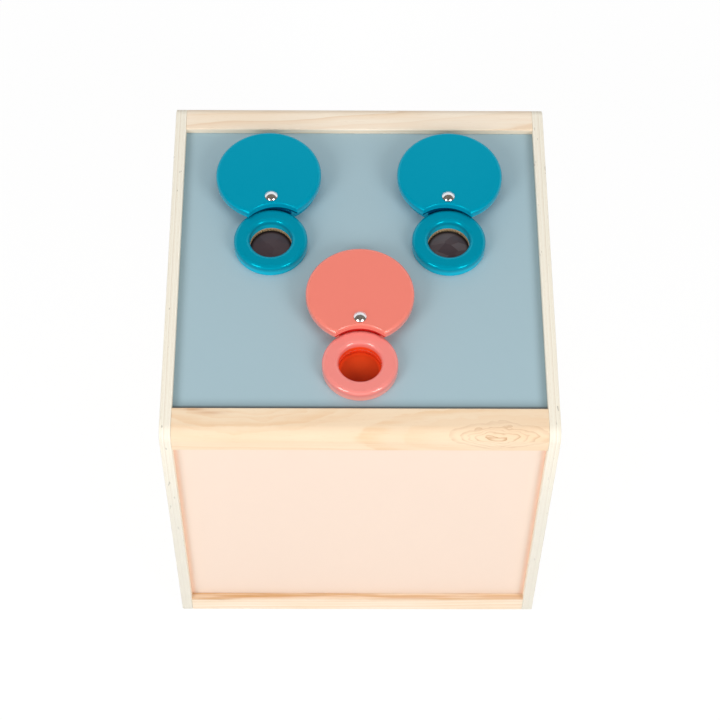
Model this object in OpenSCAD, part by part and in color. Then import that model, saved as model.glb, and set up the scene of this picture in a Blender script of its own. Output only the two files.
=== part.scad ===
// Wooden sensory box: a closed box with three ring peepholes on top.
// Each peephole has a window under it and a notched round cover that swivels over it.
// Millimetres, +Z up, front towards -Y, origin at the middle of the underside.

/* [Box] */
// Width over both side panels
box_w = 300; // [280:1:320]
// Depth of the side panels, front to back
box_d = 314; // [300:1:330]
// Height of the side panels
box_h = 296; // [280:1:320]
// Thickness of each side panel
side_t = 9; // [8:0.5:12]
// Radius on the upper front and upper back corners
corner_r = 10; // [6:0.5:12]

/* [Rails] */
// Depth of the two top rails, front to back
top_rail_d = 25; // [23:0.5:30]
// Height of the two top rails
top_rail_h = 21; // [20:0.5:26]
// Depth of the two bottom rails, front to back
bottom_rail_d = 22; // [20:0.5:28]
// Height of the two bottom rails
bottom_rail_h = 19.6; // [18.5:0.1:26]

/* [Panels] */
// Thickness of the top panel
top_panel_t = 6; // [5:0.5:6.5]
// How far the top panel lies below the rails
top_panel_drop = 5.3; // [4:0.1:6]
// Thickness of the front and back panels
wall_panel_t = 5; // [4:0.5:5]
// How far the front and back panels stand behind the rail faces
wall_panel_recess = 6; // [5:0.5:7]
// Thickness of the bottom panel
bottom_panel_t = 6; // [4:0.5:6]
// Clear height under the bottom panel
bottom_panel_lift = 5; // [4:0.5:5]
// How far a panel goes into a rail
rail_groove = 7; // [5:0.5:7]
// How far a panel goes into a side panel
side_groove = 3.5; // [2.5:0.5:4.5]

/* [Peepholes] */
// Outer radius of the rings
ring_r = 29; // [27:0.1:30]
// Radius of the hole through the rings and the top panel
bore_r = 16.5; // [14:0.1:17]
// Height of the rings above the top panel
ring_h = 9.5; // [8.5:0.1:9.6]
// Rounding of the upper edges of the rings
ring_edge_r = 2.8; // [1:0.1:3.4]
// Distance of the two back peepholes from the middle of the box
eye_x = 70; // [69:0.5:72]
// Place of the two back peepholes, front to back
eye_y = 20.5; // [20:0.5:26]
// Place of the front peephole, front to back
mouth_y = -93.6; // [-96:0.1:-93]
// Thickness of the windows, which are let into the top panel from below
window_t = 2; // [2:0.5:3.5]
// Radius of the windows
window_r = 19; // [18:0.5:20]
// Height of the retainers that hold the windows from below
retainer_h = 8; // [6:0.5:10]
// Outer radius of the retainers
retainer_r = 27.5; // [26:0.5:28]

/* [Covers] */
// Radius of the swivelling covers
cover_r = 41.8; // [40:0.1:42]
// Thickness of the covers
cover_t = 7; // [5:0.1:8]
// Distance from the pivot to the middle of a cover
cover_arm = 23; // [22.5:0.1:24]
// Distance from the middle of a ring to the pivot behind it
pivot_back = 35; // [35:0.1:36]
// How far a parked cover reaches in over the edge of its ring
notch_lap = 1.2; // [0.5:0.1:2]
// Rounding of the upper edges of the covers
cover_edge_r = 2.6; // [0.5:0.1:3]
// Rounding of the upper edge round the notch
notch_edge_r = 1.3; // [0.5:0.1:1.8]
// Height of the fixed bases that the covers turn on
base_h = 9.8; // [9.8:0.1:10.4]
// How far a base stays inside the outline of its cover
base_inset = 6; // [5:0.1:9]
// How far the left cover is turned as parked, seen from above
left_turn = 6.5; // [-7:0.5:7]
// How far the right cover is turned as parked, seen from above
right_turn = -4; // [-7:0.5:7]

/* [Pivots] */
// Radius of the plain shoulder that a cover turns on
shoulder_r = 2.5; // [2:0.1:2.6]
// Radius of the threaded end below the shoulder
thread_r = 2; // [1.5:0.1:2]
// Radius of the domed head
head_r = 4.9; // [4.5:0.1:6]
// Height of the domed head
head_h = 2.4; // [1.5:0.1:3.5]

/* [Joinery] */
// Radius of the dowels in the rail ends
dowel_r = 3; // [2.5:0.1:3]
// Length of the dowels
dowel_len = 30; // [20:1:40]
// Radius of the side screws
screw_r = 2; // [1.5:0.1:2.2]
// Length of the side screws
screw_len = 45; // [35:1:50]
// Radius of the small screws that hold rings and retainers
ring_screw_r = 1.5; // [1.2:0.1:1.6]

/* [Hidden] */
$fn = 96;

pine = "#f3dcbc";
birch = "#ece6d6";
blue_grey = "#a6bec8";
peach = "#fde2d0";
teal = "#0591ae";
coral = "#ee8577";
raw_board = "#c9a377";
smoke = "#4a4044";
amber = "#c8431c";
steel = "#c9ccd0";
zinc = "#a9adb2";
beech = "#d9b98c";
nylon = "#e8e6df";

// Slack round a panel in its groove, and round a screw or a dowel in its hole
panel_slack = 0.1;
hole_slack = 0.05;

inner_w = box_w - 2 * side_t;
panel_top = box_h - top_panel_drop;
panel_under = panel_top - top_panel_t;

// The three peepholes, and the pivots behind them
left_eye = [-eye_x, eye_y];
right_eye = [eye_x, eye_y];
mouth = [0, mouth_y];
peepholes = [left_eye, right_eye, mouth];
function pivot_of(peephole) = peephole + [0, pivot_back];

// Heights of the cover stack above the top panel
slip_t = 0.4;
slip_r = 4.5;
slip_play = 0.1;
cover_z = panel_top + base_h + slip_t + slip_play;
cover_top = cover_z + cover_t;
head_play = 0.2;
head_z = cover_top + head_play;
base_notch_gap = 0.8;

// Hardware under the top panel
washer_r = 5;
washer_t = 1;
nut_t = 5;
nut_r = 4.04;
bolt_end = 2;

// Window seat in the top panel, and the retainer that closes it
seat_slack = 0.2;
seat_depth = window_t + panel_slack;
retainer_bore_r = bore_r - 1;

// Ring screws: three to a ring, from below through retainer and panel
ring_screw_circle = 23.5;
ring_screw_angles = [30, 150, 270];
ring_screw_bite = 6.5;
ring_screw_head_r = 2.8;
ring_screw_head_h = 1.8;

// Screw and dowel places in the front rail ends, as [y, z]; the back rails mirror them
front_y = -box_d / 2;
top_screw_at = [front_y + 7.5, box_h - 7.5];
top_dowel_at = [front_y + 15.5, box_h - 16];
bottom_screw_at = [front_y + 7, 6.5];
bottom_dowel_at = [front_y + 16.5, 15.5];
dowel_in_side = 5.5;
screw_head_r = 4;
screw_head_h = 2.4;
screw_socket_r = 1.5;
screw_socket_h = 1.6;

// A copy at the front and one mirrored to the back
module front_and_back() {
    children();
    mirror([0, 1, 0]) children();
}

// An outline in Y and Z, drawn out along X and centred on X
module along_x(length) {
    rotate([90, 0, 90]) linear_extrude(length, center = true) children();
}

// A box from its lowest to its highest corner
module span(low, high) {
    translate(low) cube(high - low);
}

// Side outline, square at the foot and round at the two upper corners
module side_outline() {
    half = box_d / 2;
    translate([-half, 0]) square([box_d, box_h - corner_r]);
    translate([-half + corner_r, 0]) square([box_d - 2 * corner_r, box_h]);
    for (s = [-1, 1]) translate([s * (half - corner_r), box_h - corner_r]) circle(corner_r);
}

// The panels, and with slack added the grooves that hold them
module top_board(slack) {
    reach = [inner_w / 2 + side_groove, box_d / 2 - top_rail_d + rail_groove];
    span([-reach.x - slack, -reach.y - slack, panel_under - slack],
         [reach.x + slack, reach.y + slack, panel_top + slack]);
}

module wall_board(slack) {
    reach_x = inner_w / 2 + side_groove;
    y0 = front_y + wall_panel_recess;
    span([-reach_x - slack, y0 - slack, bottom_rail_h - rail_groove - slack],
         [reach_x + slack, y0 + wall_panel_t + slack, box_h - top_rail_h + rail_groove + slack]);
}

module bottom_board(slack) {
    reach = [inner_w / 2 + side_groove, box_d / 2 - bottom_rail_d + rail_groove];
    span([-reach.x - slack, -reach.y - slack, bottom_panel_lift - slack],
         [reach.x + slack, reach.y + slack, bottom_panel_lift + bottom_panel_t + slack]);
}

module all_grooves() {
    top_board(panel_slack);
    bottom_board(panel_slack);
    front_and_back() wall_board(panel_slack);
}

// One side screw, the face of its head at z = 0 and its point along +Z
module side_screw(grow, socket) {
    difference() {
        union() {
            cylinder(h = screw_len, r = screw_r + grow);
            cylinder(h = screw_head_h, r1 = screw_head_r + grow, r2 = screw_r + grow);
        }
        if (socket) translate([0, 0, -1]) cylinder(h = screw_socket_h + 1, r = screw_socket_r, $fn = 6);
    }
}

// The four screws and four dowels on the left side; the right side mirrors them
module left_screw_set(grow, socket) {
    front_and_back() for (at = [top_screw_at, bottom_screw_at])
        translate([-box_w / 2, at.x, at.y]) rotate([0, 90, 0]) side_screw(grow, socket);
}

module left_dowel_set(grow) {
    front_and_back() for (at = [top_dowel_at, bottom_dowel_at])
        translate([-inner_w / 2 - dowel_in_side, at.x, at.y])
            rotate([0, 90, 0]) cylinder(h = dowel_len, r = dowel_r + grow);
}

module left_fixings(grow) {
    left_screw_set(grow, false);
    left_dowel_set(grow);
}

module left_side() {
    difference() {
        translate([-box_w / 2 + side_t / 2, 0, 0]) along_x(side_t) side_outline();
        all_grooves();
        left_fixings(hole_slack);
    }
}

// A rail drilled at both ends for its screws and dowels
module drilled_rail() {
    difference() {
        children();
        all_grooves();
        left_fixings(hole_slack);
        mirror([1, 0, 0]) left_fixings(hole_slack);
    }
}

module top_rail() {
    drilled_rail() intersection() {
        along_x(inner_w) side_outline();
        span([-inner_w / 2, front_y, box_h - top_rail_h],
             [inner_w / 2, front_y + top_rail_d, box_h]);
    }
}

module bottom_rail() {
    drilled_rail() span([-inner_w / 2, front_y, 0],
                        [inner_w / 2, front_y + bottom_rail_d, bottom_rail_h]);
}

// Ring section with both upper edges rounded, turned about the peephole
module ring_section() {
    width = ring_r - bore_r;
    e = ring_edge_r;
    translate([bore_r, 0]) square([width, ring_h - e]);
    translate([bore_r + e, 0]) square([width - 2 * e, ring_h]);
    for (x = [bore_r + e, ring_r - e]) translate([x, ring_h - e]) circle(e);
}

// The screws of one ring, from below: heads under the retainer, points in the ring
module ring_screw_set(peephole, grow) {
    low = panel_under - retainer_h - ring_screw_head_h;
    for (a = ring_screw_angles)
        translate([peephole.x, peephole.y, low] + ring_screw_circle * [cos(a), sin(a), 0]) {
            cylinder(h = ring_screw_head_h, r = ring_screw_head_r);
            cylinder(h = panel_top + ring_screw_bite - low, r = ring_screw_r + grow);
        }
}

module ring(peephole) {
    difference() {
        translate([peephole.x, peephole.y, panel_top]) rotate_extrude() ring_section();
        ring_screw_set(peephole, hole_slack);
    }
}

module window(peephole) {
    translate([peephole.x, peephole.y, panel_under]) cylinder(h = window_t, r = window_r);
}

module retainer(peephole) {
    difference() {
        translate([peephole.x, peephole.y, panel_under - retainer_h]) difference() {
            cylinder(h = retainer_h, r = retainer_r);
            translate([0, 0, -1]) cylinder(h = retainer_h + 2, r = retainer_bore_r);
        }
        ring_screw_set(peephole, hole_slack);
    }
}

// Round plate about the pivot at the origin, its upper edge square or rounded
module round_plate(radius, thick, edge) {
    translate([0, cover_arm, 0]) rotate_extrude() {
        square([radius, thick - edge]);
        square([radius - edge, thick]);
        if (edge > 0) intersection() {
            translate([radius - edge, thick - edge]) circle(edge);
            square([radius, thick]);
        }
    }
}

// What the ring takes out of a plate, its upper edge square or rounded
module notch(radius, thick, edge) {
    translate([0, -pivot_back, 0]) rotate_extrude() {
        translate([0, -1]) square([radius, thick + 2]);
        if (edge > 0) difference() {
            translate([0, thick - edge]) square([radius + edge, edge + 1]);
            translate([radius + edge, thick - edge]) circle(edge);
        }
    }
}

module notched_plate(radius, thick, edge, gap, notch_edge, hole_r) {
    difference() {
        round_plate(radius, thick, edge);
        notch(ring_r + gap, thick, notch_edge);
        translate([0, 0, -1]) cylinder(h = thick + 2, r = hole_r);
    }
}

module cover(peephole, turn) {
    at = pivot_of(peephole);
    translate([at.x, at.y, cover_z]) rotate(turn)
        notched_plate(cover_r, cover_t, cover_edge_r, -notch_lap, notch_edge_r, shoulder_r + hole_slack);
}

module cover_base(peephole) {
    at = pivot_of(peephole);
    translate([at.x, at.y, panel_top])
        notched_plate(cover_r - base_inset, base_h, 0, base_notch_gap, 0, shoulder_r + hole_slack);
}

// Domed shoulder bolt: head, plain shoulder down to the panel, threaded end through it
module pivot_bolt(peephole) {
    at = pivot_of(peephole);
    dome_r = (head_r * head_r + head_h * head_h) / (2 * head_h);
    tail_z = panel_under - washer_t - nut_t - bolt_end;
    translate([at.x, at.y, 0]) {
        translate([0, 0, panel_top]) cylinder(h = head_z - panel_top, r = shoulder_r);
        translate([0, 0, tail_z]) cylinder(h = panel_top - tail_z, r = thread_r);
        translate([0, 0, head_z]) intersection() {
            cylinder(h = head_h, r = head_r);
            translate([0, 0, head_h - dome_r]) sphere(dome_r);
        }
    }
}

// The same washer or nut at each of the three pivots
module at_pivots(z) {
    for (p = peepholes) {
        at = pivot_of(p);
        translate([at.x, at.y, z]) children();
    }
}

module flat_washer(outer_r, inner_r, thick) {
    difference() {
        cylinder(h = thick, r = outer_r);
        translate([0, 0, -1]) cylinder(h = thick + 2, r = inner_r);
    }
}

module left_side_panel() { color(birch) left_side(); }
module right_side_panel() { color(birch) mirror([1, 0, 0]) left_side(); }
module top_front_rail() { color(pine) top_rail(); }
module top_back_rail() { color(pine) mirror([0, 1, 0]) top_rail(); }
module bottom_front_rail() { color(pine) bottom_rail(); }
module bottom_back_rail() { color(pine) mirror([0, 1, 0]) bottom_rail(); }

module top_panel() {
    color(blue_grey) difference() {
        top_board(0);
        for (p = peepholes) {
            at = pivot_of(p);
            translate([p.x, p.y, 0]) cylinder(h = box_h, r = bore_r);
            translate([p.x, p.y, 0]) cylinder(h = panel_under + seat_depth, r = window_r + seat_slack);
            translate([at.x, at.y, 0]) cylinder(h = box_h, r = thread_r + hole_slack);
            ring_screw_set(p, hole_slack);
        }
    }
}

module front_panel() { color(peach) wall_board(0); }
module back_panel() { color(peach) mirror([0, 1, 0]) wall_board(0); }
module bottom_panel() { color(birch) bottom_board(0); }
module left_side_screws() { color(zinc) left_screw_set(0, true); }
module right_side_screws() { color(zinc) mirror([1, 0, 0]) left_screw_set(0, true); }
module left_dowels() { color(beech) left_dowel_set(0); }
module right_dowels() { color(beech) mirror([1, 0, 0]) left_dowel_set(0); }

module left_ring() { color(teal) ring(left_eye); }
module right_ring() { color(teal) ring(right_eye); }
module centre_ring() { color(coral) ring(mouth); }
module left_window() { color(smoke) window(left_eye); }
module right_window() { color(smoke) window(right_eye); }
module centre_window() { color(amber) window(mouth); }
module left_window_retainer() { color(raw_board) retainer(left_eye); }
module right_window_retainer() { color(raw_board) retainer(right_eye); }
module centre_window_retainer() { color(raw_board) retainer(mouth); }
module ring_screws() { color(zinc) for (p = peepholes) ring_screw_set(p, 0); }

module left_cover_base() { color(teal) cover_base(left_eye); }
module right_cover_base() { color(teal) cover_base(right_eye); }
module centre_cover_base() { color(coral) cover_base(mouth); }
module left_cover() { color(teal) cover(left_eye, left_turn); }
module right_cover() { color(teal) cover(right_eye, right_turn); }
module centre_cover() { color(coral) cover(mouth, 0); }
module left_pivot_bolt() { color(steel) pivot_bolt(left_eye); }
module right_pivot_bolt() { color(steel) pivot_bolt(right_eye); }
module centre_pivot_bolt() { color(steel) pivot_bolt(mouth); }

module slip_washers() {
    color(nylon) at_pivots(panel_top + base_h) flat_washer(slip_r, shoulder_r + hole_slack, slip_t);
}

module pivot_washers() {
    color(zinc) at_pivots(panel_under - washer_t) flat_washer(washer_r, thread_r + hole_slack, washer_t);
}

module pivot_nuts() {
    color(zinc) at_pivots(panel_under - washer_t - nut_t) difference() {
        cylinder(h = nut_t, r = nut_r, $fn = 6);
        translate([0, 0, -1]) cylinder(h = nut_t + 2, r = thread_r + hole_slack);
    }
}

left_side_panel();
right_side_panel();
top_front_rail();
top_back_rail();
bottom_front_rail();
bottom_back_rail();
top_panel();
front_panel();
back_panel();
bottom_panel();
left_side_screws();
right_side_screws();
left_dowels();
right_dowels();
left_ring();
right_ring();
centre_ring();
left_window();
right_window();
centre_window();
left_window_retainer();
right_window_retainer();
centre_window_retainer();
ring_screws();
left_cover_base();
right_cover_base();
centre_cover_base();
left_cover();
right_cover();
centre_cover();
left_pivot_bolt();
right_pivot_bolt();
centre_pivot_bolt();
slip_washers();
pivot_washers();
pivot_nuts();
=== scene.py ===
from math import atan2, ceil, cos, pi, radians, sin, sqrt

import bmesh
import bpy
from mathutils import Matrix, Vector


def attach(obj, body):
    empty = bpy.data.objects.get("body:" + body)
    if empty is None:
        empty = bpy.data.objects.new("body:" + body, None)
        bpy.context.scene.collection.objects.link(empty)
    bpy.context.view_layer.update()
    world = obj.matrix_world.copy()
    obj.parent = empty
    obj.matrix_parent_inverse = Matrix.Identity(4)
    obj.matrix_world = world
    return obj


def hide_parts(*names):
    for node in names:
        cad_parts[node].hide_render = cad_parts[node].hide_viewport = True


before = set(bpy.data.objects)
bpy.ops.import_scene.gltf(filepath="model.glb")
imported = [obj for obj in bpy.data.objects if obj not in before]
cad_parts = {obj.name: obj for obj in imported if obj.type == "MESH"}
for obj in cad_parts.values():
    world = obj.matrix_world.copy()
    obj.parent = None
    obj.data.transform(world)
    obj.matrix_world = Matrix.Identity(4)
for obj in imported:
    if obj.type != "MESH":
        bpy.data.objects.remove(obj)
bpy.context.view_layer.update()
scene = bpy.context.scene
MM = 0.001


# The studio: a camera in front of the box and well above it, a soft box on either side of it and
# one overhead. Floor and walls are white, and a brown awning high over the box is what the bright
# bolt heads mirror besides them.
scene.view_settings.view_transform = "Standard"
CAMERA_LENS = 106.79
CAMERA_SENSOR = 36.0
CAMERA_DISTANCE = 1794.27 * MM
CAMERA_TARGET = Vector((1.351, 2.093, 150.0)) * MM
CAMERA_PITCH = radians(57.835)
CAMERA_YAW = radians(-0.877)
CAMERA_ROLL = radians(0.901)
LIGHT_CENTRE = Vector((0.0, 0.0, 0.25))
LAMP_DISTANCE = 2.0
WHITE = (1.0, 1.0, 1.0, 1.0)
WALL_LIGHT = 0.46
FLOOR_SIZE = 9.0
FLOOR_DROP = 0.2 * MM
FLOOR_PAPER = (0.9, 0.9, 0.9, 1.0)
FLOOR_SHADOW = (0.12, 0.12, 0.12, 1.0)
FLOOR_GLOW = 0.9
AWNING_BROWN = (0.28, 0.24, 0.19, 1.0)
AWNING_RADIUS = 2.6
AWNING_SIDE = 80
AWNING_RISE = (40, 130)


def fill(node, sockets):
    """Gives a node's sockets their values, or links them to what feeds them."""
    for key, value in sockets.items():
        if isinstance(value, bpy.types.NodeSocket):
            node.id_data.links.new(value, node.inputs[key])
        else:
            node.inputs[key].default_value = value


def put(tree, kind, sockets=None, **settings):
    """Adds a node to a tree. Settings are its options, sockets its values or what feeds them."""
    node = tree.nodes.new(kind)
    for name, value in settings.items():
        setattr(node, name, value)
    fill(node, sockets or {})
    return node


def join(kind, sockets, **settings):
    """Adds a node to the tree of the sockets that feed it."""
    feeding = [value for value in sockets.values() if isinstance(value, bpy.types.NodeSocket)]
    return put(feeding[0].id_data, kind, sockets, **settings)


def calc(operation, *values):
    """One step of arithmetic between values and sockets."""
    return join("ShaderNodeMath", dict(enumerate(values)), operation=operation).outputs[0]


def add_object(name, data):
    made = bpy.data.objects.new(name, data)
    scene.collection.objects.link(made)
    return made


def seen_directly(tree):
    """1 on rays from the camera, from mirroring surfaces and through glass, 0 on other rays."""
    path = put(tree, "ShaderNodeLightPath").outputs
    mirrored = calc("MAXIMUM", path["Is Glossy Ray"], path["Is Transmission Ray"])
    return calc("MAXIMUM", path["Is Camera Ray"], mirrored)


def soft_box(name, azimuth, elevation, width, height, power):
    """A lamp that faces the box. Azimuth 0 is in front of it."""
    a, e = radians(azimuth), radians(elevation)
    towards = Vector((sin(a) * cos(e), -cos(a) * cos(e), sin(e)))
    data = bpy.data.lights.new(name, "AREA")
    data.shape = "RECTANGLE"
    data.size, data.size_y, data.energy = width, height, power
    lamp = add_object(name, data)
    lamp.location = LIGHT_CENTRE + towards * LAMP_DISTANCE
    lamp.rotation_euler = towards.to_track_quat("Z", "Y").to_euler()
    return lamp


def grid_sheet(name, columns, rows, place):
    """A sheet of that many cells, with place giving the corner at each share of its two sides."""
    points = [place(i / columns, j / rows) for j in range(rows + 1) for i in range(columns + 1)]
    wide = columns + 1
    cells = [(j * wide + i, j * wide + i + 1, (j + 1) * wide + i + 1, (j + 1) * wide + i)
             for j in range(rows) for i in range(columns)]
    mesh = bpy.data.meshes.new(name)
    mesh.from_pydata(points, [], cells)
    return add_object(name, mesh)


def on_floor(across, back):
    return (across - 0.5) * FLOOR_SIZE, (back - 0.5) * FLOOR_SIZE, -FLOOR_DROP


def on_awning(across, back):
    """On a sphere round the box, from its front over the top towards its back."""
    side = radians(AWNING_SIDE * (2 * across - 1))
    rise = radians(AWNING_RISE[0] + (AWNING_RISE[1] - AWNING_RISE[0]) * back)
    towards = Vector((sin(side), -cos(side) * cos(rise), cos(side) * sin(rise)))
    return LIGHT_CENTRE + towards * AWNING_RADIUS


camera_data = bpy.data.cameras.new("camera")
camera_data.lens, camera_data.sensor_width = CAMERA_LENS, CAMERA_SENSOR
camera = add_object("camera", camera_data)
camera_turn = (Matrix.Rotation(CAMERA_YAW, 4, "Z") @ Matrix.Rotation(pi / 2 - CAMERA_PITCH, 4, "X")
               @ Matrix.Rotation(CAMERA_ROLL, 4, "Z"))
camera_back = Matrix.Translation((0.0, 0.0, CAMERA_DISTANCE))
camera.matrix_world = Matrix.Translation(CAMERA_TARGET) @ camera_turn @ camera_back
scene.camera = camera

soft_box("soft_box_left", azimuth=-42, elevation=31, width=0.7, height=0.9, power=14.9)
soft_box("soft_box_right", azimuth=42, elevation=31, width=0.7, height=0.9, power=14.5)
overhead = soft_box("soft_box_overhead", azimuth=175, elevation=80, width=1.4, height=1.0, power=7.4)
overhead.visible_glossy = False

walls = bpy.data.worlds.new("studio_walls")
walls.use_nodes = True
scene.world = walls
wall_light = join("ShaderNodeMapRange", {"Value": seen_directly(walls.node_tree), "To Min": WALL_LIGHT})
fill(walls.node_tree.nodes["Background"], {"Color": WHITE, "Strength": wall_light.outputs["Result"]})

floor = grid_sheet("floor", 1, 1, on_floor)
floor_paper = bpy.data.materials.new("floor_paper")
floor_paper.use_nodes = True
tree = floor_paper.node_tree
tree.nodes.remove(tree.nodes["Principled BSDF"])
paper = put(tree, "ShaderNodeBsdfDiffuse", {"Color": FLOOR_PAPER}).outputs[0]
shadowed = put(tree, "ShaderNodeBsdfDiffuse", {"Color": FLOOR_SHADOW}).outputs[0]
glow = put(tree, "ShaderNodeEmission", {"Color": WHITE, "Strength": FLOOR_GLOW}).outputs[0]
seen = join("ShaderNodeAddShader", {0: shadowed, 1: glow}).outputs[0]
lit = join("ShaderNodeMixShader", {0: seen_directly(tree), 1: paper, 2: seen}).outputs[0]
fill(tree.nodes["Material Output"], {"Surface": lit})
floor.data.materials.append(floor_paper)

awning = grid_sheet("brown_awning", 16, 12, on_awning)
awning_cloth = bpy.data.materials.new("awning_cloth")
awning_cloth.use_nodes = True
fill(awning_cloth.node_tree.nodes["Principled BSDF"], {"Base Color": AWNING_BROWN, "Roughness": 1.0})
awning.data.materials.append(awning_cloth)
for ray in ("camera", "diffuse", "shadow", "transmission"):
    setattr(awning, "visible_" + ray, False)


# The two side panels: pale birch ply 9 mm thick, upper corners sawn round and all edges
# sanded over. They are grooved inside for the panels, and countersunk for the side screws.
SIDE_OUT = 150.0
SIDE_IN = 141.0
SIDE_FRONT = 157.0
SIDE_TOP = 296.0
SIDE_CORNER = 10.0
SIDE_FOOT_CORNER = 1.2
SIDE_EASE = 0.9
PLY_COUNT = 7
OPEN_SEAM = 3.1
GROOVE_BOTTOM = 144.6
# Each groove: from and to in Y, from and to in Z.
TOP_GROOVE = (-139.1, 139.1, 284.6, 290.8)
BOTTOM_GROOVE = (-142.1, 142.1, 4.9, 11.1)
FRONT_GROOVE = (-151.1, -145.9, 12.5, 282.1)
BACK_GROOVE = (145.9, 151.1, 12.5, 282.1)
SCREW_PLACES = ((149.5, 288.5), (150.0, 6.5))
SCREW_HEAD_H = 2.4
SCREW_HOLE_R = 2.05
COUNTERSINK_R = 4.47
OVERCUT = 0.5
FACE_NORMAL = 0.98
SHARP_ANGLE = radians(35)


def srgb(red, green, blue):
    """A colour from its 0-255 values as they show on a screen."""
    shares = [v / 255 for v in (red, green, blue)]
    return (*[c / 12.92 if c <= 0.04045 else ((c + 0.055) / 1.055) ** 2.4 for c in shares], 1.0)


def times(first, second):
    return calc("MULTIPLY", first, second)


def vector(operation, *values):
    """One step of arithmetic on vectors, which may end in a vector or in a value."""
    outputs = join("ShaderNodeVectorMath", dict(enumerate(values)), operation=operation).outputs
    return outputs["Value" if operation in ("LENGTH", "DISTANCE", "DOT_PRODUCT") else "Vector"]


def parts(place):
    """X, Y and Z of a place."""
    return join("ShaderNodeSeparateXYZ", {0: place}).outputs


def tint(share, first, second):
    """A colour between two."""
    return join("ShaderNodeMix", {0: share, 6: first, 7: second}, data_type="RGBA").outputs[2]


def grade(value, low, high, to_low=0.0, to_high=1.0):
    """A smooth rise from to_low to to_high as the value goes from low to high."""
    sockets = {"Value": value, "From Min": low, "From Max": high, "To Min": to_low, "To Max": to_high}
    return join("ShaderNodeMapRange", sockets, interpolation_type="SMOOTHSTEP").outputs["Result"]


def cloud(place, scale, detail=2.0, roughness=0.5):
    """Soft noise, from 0 to 1."""
    stretched = vector("MULTIPLY", place, scale)
    sockets = {"Vector": stretched, "Scale": 1.0, "Detail": detail, "Roughness": roughness}
    return join("ShaderNodeTexNoise", sockets).outputs[0]


def node_group(name, family, inputs, outputs):
    """A group with named sockets of some kinds, what comes in and the node for what goes out."""
    group = bpy.data.node_groups.new(name, family + "NodeTree")
    for in_out, sockets in (("INPUT", inputs), ("OUTPUT", outputs)):
        for socket, kind in sockets.items():
            group.interface.new_socket(socket, in_out=in_out, socket_type="NodeSocket" + kind)
    return group, put(group, "NodeGroupInput").outputs, put(group, "NodeGroupOutput")


def use_group(group, sockets):
    return join("ShaderNodeGroup", sockets, node_tree=group).outputs


def new_finish(name):
    """An empty material, and the place on the piece that it covers."""
    material = bpy.data.materials.new(name)
    material.use_nodes = True
    return material, put(material.node_tree, "ShaderNodeTexCoord").outputs["Object"]


def surface(material, colour, roughness, gloss=0.5, bump=None, depth=0.0, **sockets):
    """Feeds a material's shader, with a bump of that depth in millimetres."""
    if bump is not None:
        sockets["Normal"] = join("ShaderNodeBump", {"Height": bump, "Distance": depth * MM}).outputs[0]
    sockets.update({"Base Color": colour, "Roughness": roughness, "Specular IOR Level": gloss})
    fill(material.node_tree.nodes["Principled BSDF"], sockets)
    return material


# Fibres run along X of the place that goes in.
wood_fibre, came, goes = node_group(
    "wood_fibre", "Shader", {"Place": "Vector"}, {"Streak": "Float", "Fine": "Float", "Pore": "Float"})
fill(goes, {
    "Streak": cloud(came["Place"], (14, 330, 330), detail=3.0),
    "Fine": cloud(came["Place"], (45, 1500, 1500)),
    "Pore": grade(cloud(came["Place"], (110, 1900, 1900), detail=1.0), 0.66, 0.76),
})


def birch_face_finish():
    """Rotary-cut birch: nearly plain, with soft upright flames and fine fibres."""
    material, place = new_finish("birch_face")
    across, back, up = parts(place)
    upright = join("ShaderNodeCombineXYZ", {0: up, 1: back, 2: across}).outputs[0]
    fibre = use_group(wood_fibre, {"Place": upright})
    flame = cloud(upright, (5, 36, 5), detail=4.0, roughness=0.6)
    bands = calc("PINGPONG", times(flame, 9.0), 1.0)
    colour = tint(grade(bands, 0.2, 1.0, 0.0, 0.45), srgb(247, 239, 221), srgb(236, 221, 196))
    colour = tint(grade(fibre["Streak"], 0.35, 0.75, 0.0, 0.35), colour, srgb(238, 225, 202))
    colour = tint(times(fibre["Pore"], 0.3), colour, srgb(205, 182, 148))
    rough = grade(fibre["Streak"], 0.2, 0.8, 0.46, 0.62)
    return surface(material, colour, rough, gloss=0.35, bump=fibre["Fine"], depth=0.03)


def birch_edge_finish():
    """Seven plies seen edge on, every other one paler, with thin glue lines and a few small voids."""
    material, place = new_finish("birch_edge")
    across, _, up = parts(place)
    inward = calc("SUBTRACT", SIDE_OUT * MM, calc("ABSOLUTE", across))
    sway = times(cloud(place, (200, 30, 30)), 0.5)
    ply = calc("ADD", calc("DIVIDE", inward, (SIDE_OUT - SIDE_IN) * MM / PLY_COUNT), sway)
    crossing = calc("MODULO", calc("FLOOR", ply), 2.0)
    from_middle = calc("ABSOLUTE", calc("SUBTRACT", calc("FRACT", ply), 0.5))
    glue = grade(from_middle, 0.38, 0.49)
    streak = cloud(place, (2600, 26, 26), detail=3.0)
    fleck = cloud(place, (1500, 420, 420))
    colour = tint(grade(streak, 0.3, 0.75, 0.0, 0.7), srgb(250, 244, 229), srgb(244, 235, 215))
    end_grain = tint(grade(fleck, 0.35, 0.7), srgb(246, 238, 221), srgb(236, 224, 202))
    colour = tint(times(crossing, 0.45), colour, end_grain)
    colour = tint(times(glue, 0.2), colour, srgb(214, 192, 160))
    from_seam = calc("ABSOLUTE", calc("SUBTRACT", ply, OPEN_SEAM))
    colour = tint(grade(from_seam, 0.08, 0.4, 0.2, 0.0), colour, srgb(196, 168, 132))
    voids = grade(cloud(place, (420, 110, 110)), 0.69, 0.75)
    colour = tint(times(voids, 0.6), colour, srgb(124, 116, 102))
    # Painted shade: the ply edges are greyed, most of all towards the foot of the panel.
    colour = tint(grade(up, 0.14, 0.31, 0.75, 0.1), colour, srgb(228, 224, 212))
    rough = grade(fleck, 0.2, 0.8, 0.5, 0.68)
    return surface(material, colour, rough, gloss=0.3, bump=calc("SUBTRACT", streak, glue), depth=0.04)


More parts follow.
